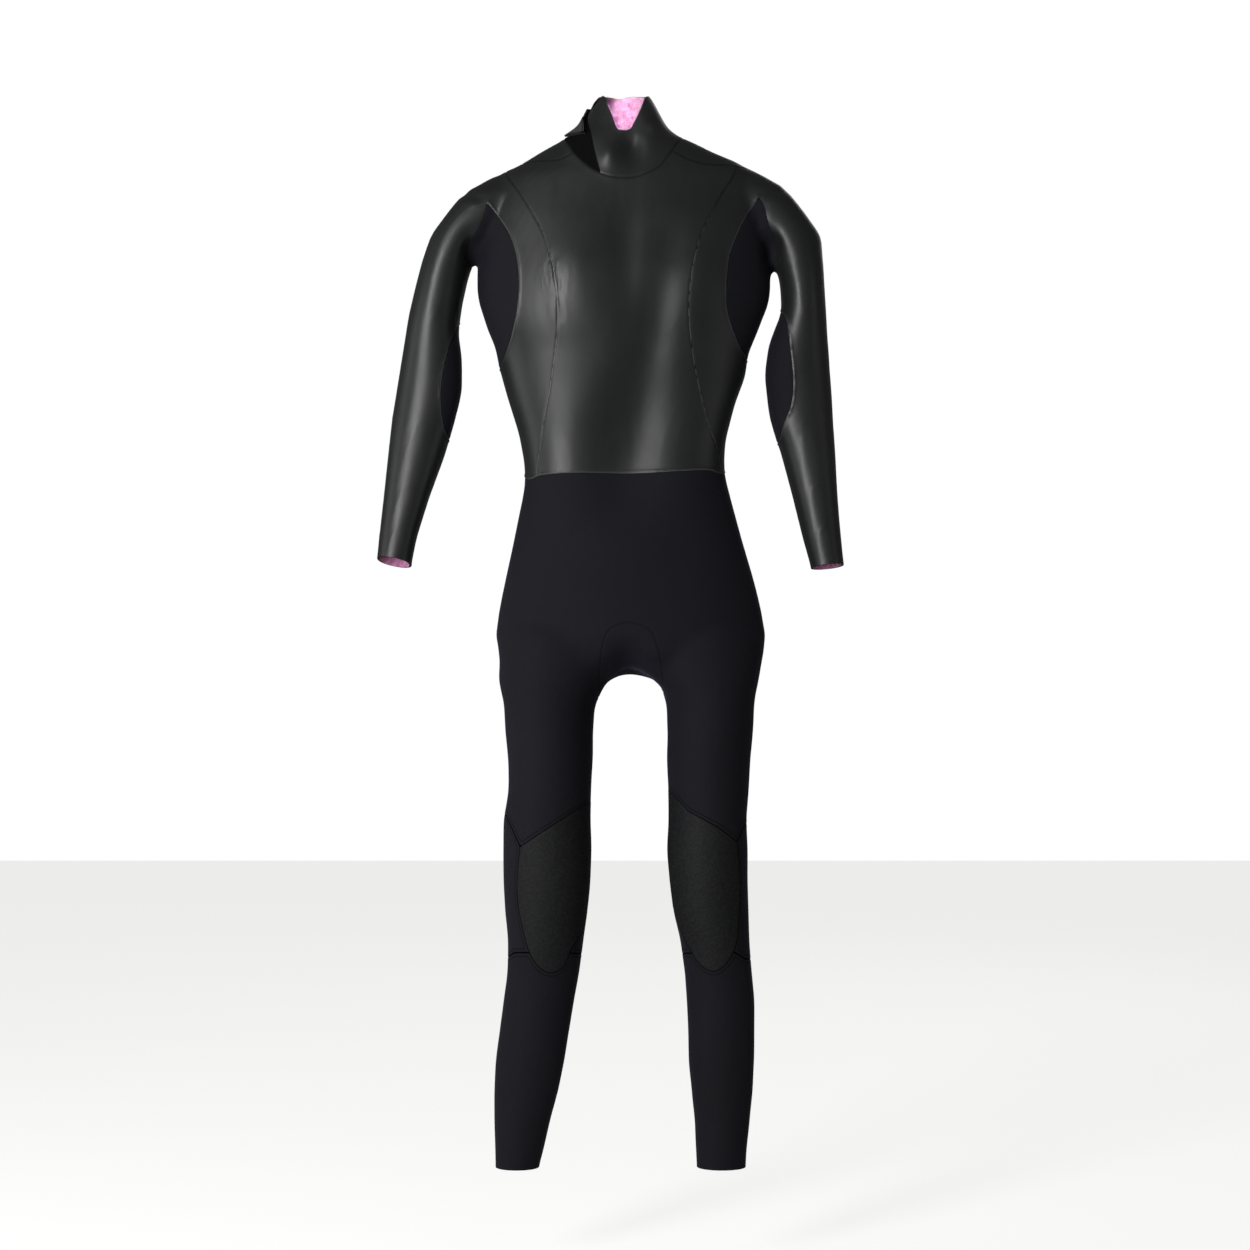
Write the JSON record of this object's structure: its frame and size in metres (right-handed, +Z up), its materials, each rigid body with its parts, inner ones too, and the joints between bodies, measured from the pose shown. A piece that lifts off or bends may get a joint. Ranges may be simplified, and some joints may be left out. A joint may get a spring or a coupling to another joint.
{
  "type": "full wetsuit",
  "caption": "Women's full wetsuit with smooth-skin neoprene top and sleeves, jersey legs, textured knee pads, back zip and hook-and-loop collar tab.",
  "frame": {"origin": "middle of the neck opening at the height of the collar's base, where the suit hangs on a hanger or peg", "axes": "+Z up the suit towards the collar, -Y out of the chest, +X towards the wearer's left"},
  "size_m": [0.579, 0.19, 1.342],
  "materials": {
    "smooth_skin": "satin smooth-skin neoprene",
    "jersey": "matte stretch nylon jersey on neoprene",
    "knee_pad_cloth": "matte ribbed abrasion cloth",
    "loop_pile": "matte loop pile",
    "zip_tape": "woven zip tape",
    "zip_plastic": "moulded acetal"
  },
  "bodies": {
    "suit": {"chest_panel": "smooth_skin", "right_side_panel": "smooth_skin", "left_side_panel": "smooth_skin", "right_back_panel": "smooth_skin", "left_back_panel": "smooth_skin", "right_underarm_gusset": "jersey", "left_underarm_gusset": "jersey", "right_upper_sleeve": "smooth_skin", "left_upper_sleeve": "smooth_skin", "right_elbow_sleeve": "smooth_skin", "left_elbow_sleeve": "smooth_skin", "right_inner_arm_panel": "jersey", "left_inner_arm_panel": "jersey", "trouser_front": "jersey", "right_trouser_back": "jersey", "left_trouser_back": "jersey", "crotch_gusset": "jersey", "right_knee_pad": "knee_pad_cloth", "left_knee_pad": "knee_pad_cloth", "right_knee_back": "jersey", "left_knee_back": "jersey", "collar_front": "smooth_skin", "right_collar_back": "smooth_skin", "left_collar_back": "smooth_skin", "collar_loop_patch": "loop_pile", "zip_tape_right": "zip_tape", "zip_tape_left": "zip_tape", "zip_teeth_right": "zip_plastic", "zip_teeth_left": "zip_plastic", "zip_top_stops": "zip_plastic", "zip_bottom_stop": "zip_plastic", "zip_underflap": "jersey"},
    "right_forearm": {"right_lower_sleeve": "smooth_skin"},
    "left_forearm": {"left_lower_sleeve": "smooth_skin"},
    "right_shin": {"right_lower_leg": "jersey"},
    "left_shin": {"left_lower_leg": "jersey"},
    "collar_tab": {"collar_hook_tab": "smooth_skin"},
    "slider": {"zip_slider": "zip_plastic"},
    "pull": {"zip_pull": "zip_plastic"}
  },
  "joints": [
    {"name": "right_elbow", "type": "hinge", "parent": "suit", "child": "right_forearm", "pos_m": [-0.244, 0, -0.287], "axis": [-1, 0, 0], "range_deg": [0, 70], "deforming": ["right_elbow_sleeve", "right_inner_arm_panel"]},
    {"name": "left_elbow", "type": "hinge", "parent": "suit", "child": "left_forearm", "pos_m": [0.2165, 0, -0.287], "axis": [-1, 0, 0], "range_deg": [0, 70], "deforming": ["left_elbow_sleeve", "left_inner_arm_panel"]},
    {"name": "right_knee", "type": "hinge", "parent": "suit", "child": "right_shin", "pos_m": [-0.0985, 0, -0.94], "axis": [1, 0, 0], "range_deg": [0, 55], "deforming": ["right_knee_pad", "right_knee_back"]},
    {"name": "left_knee", "type": "hinge", "parent": "suit", "child": "left_shin", "pos_m": [0.1065, 0, -0.94], "axis": [1, 0, 0], "range_deg": [0, 55], "deforming": ["left_knee_pad", "left_knee_back"]},
    {"name": "collar_tab_peel", "type": "hinge", "parent": "suit", "child": "collar_tab", "pos_m": [-0.005, 0.0475, 0.032], "axis": [0, 0, -1], "range_deg": [0, 60]},
    {"name": "zip_slide", "type": "slide", "parent": "suit", "child": "slider", "axis": [0, 0.0394, -0.9992], "range_m": [0, 0.3454]},
    {"name": "pull_swing", "type": "hinge", "parent": "slider", "child": "pull", "pos_m": [0, 0.05862, -0.00542], "axis": [1, 0, 0], "range_deg": [0, 150]}
  ]
}
